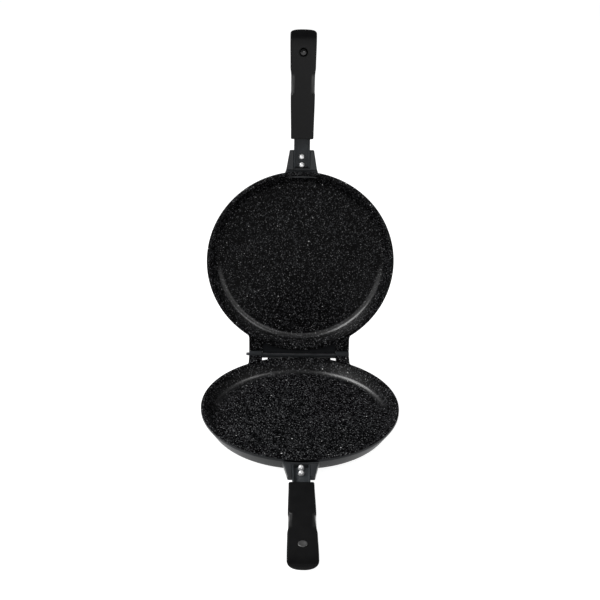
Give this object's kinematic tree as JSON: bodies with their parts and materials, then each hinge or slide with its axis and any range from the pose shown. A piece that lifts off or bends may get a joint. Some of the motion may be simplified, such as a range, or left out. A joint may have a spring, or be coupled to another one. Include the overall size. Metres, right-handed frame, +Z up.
{
  "type": "double sided flip pan",
  "caption": "Shallow round coated pans joined face to face by a rear hinge, with split handles held closed by a magnet, for cooking food on both sides.",
  "frame": {"origin": "centre of the flat underside of the lower pan, on the surface that it stands on", "axes": "+Z up, -Y along the lower handle, +Y towards the hinge, +X to the right for a viewer at the handle"},
  "size_m": [0.24, 0.4693, 0.4353],
  "materials": {
    "pan_coating": "cast aluminium with a black speckled non-stick coating",
    "pin_steel": "dark steel rod",
    "shank_steel": "dark grey coated steel sheet",
    "rivet_metal": "bright domed rivet",
    "grip_plastic": "matt black moulded heat-proof plastic",
    "magnet_metal": "plated magnet",
    "keeper_steel": "blackened steel stud",
    "screw_steel": "zinc plated steel"
  },
  "bodies": {
    "lower_half": {"lower_pan": "pan_coating", "hinge_pin": "pin_steel", "lower_shank": "shank_steel", "lower_rivet_inner": "rivet_metal", "lower_rivet_outer": "rivet_metal", "lower_grip": "grip_plastic", "grip_magnet": "magnet_metal", "lower_grip_screw": "screw_steel", "lower_grip_nut": "screw_steel"},
    "upper_half": {"upper_pan": "pan_coating", "upper_shank": "shank_steel", "upper_rivet_inner": "rivet_metal", "upper_rivet_outer": "rivet_metal", "upper_grip": "grip_plastic", "grip_keeper": "keeper_steel", "upper_grip_screw": "screw_steel", "upper_grip_nut": "screw_steel"}
  },
  "joints": [
    {"name": "pan_hinge", "type": "hinge", "parent": "lower_half", "child": "upper_half", "pos_m": [0, 0.1259, 0.0208], "axis": [1, 0, 0], "range_deg": [0, 95.5]}
  ]
}
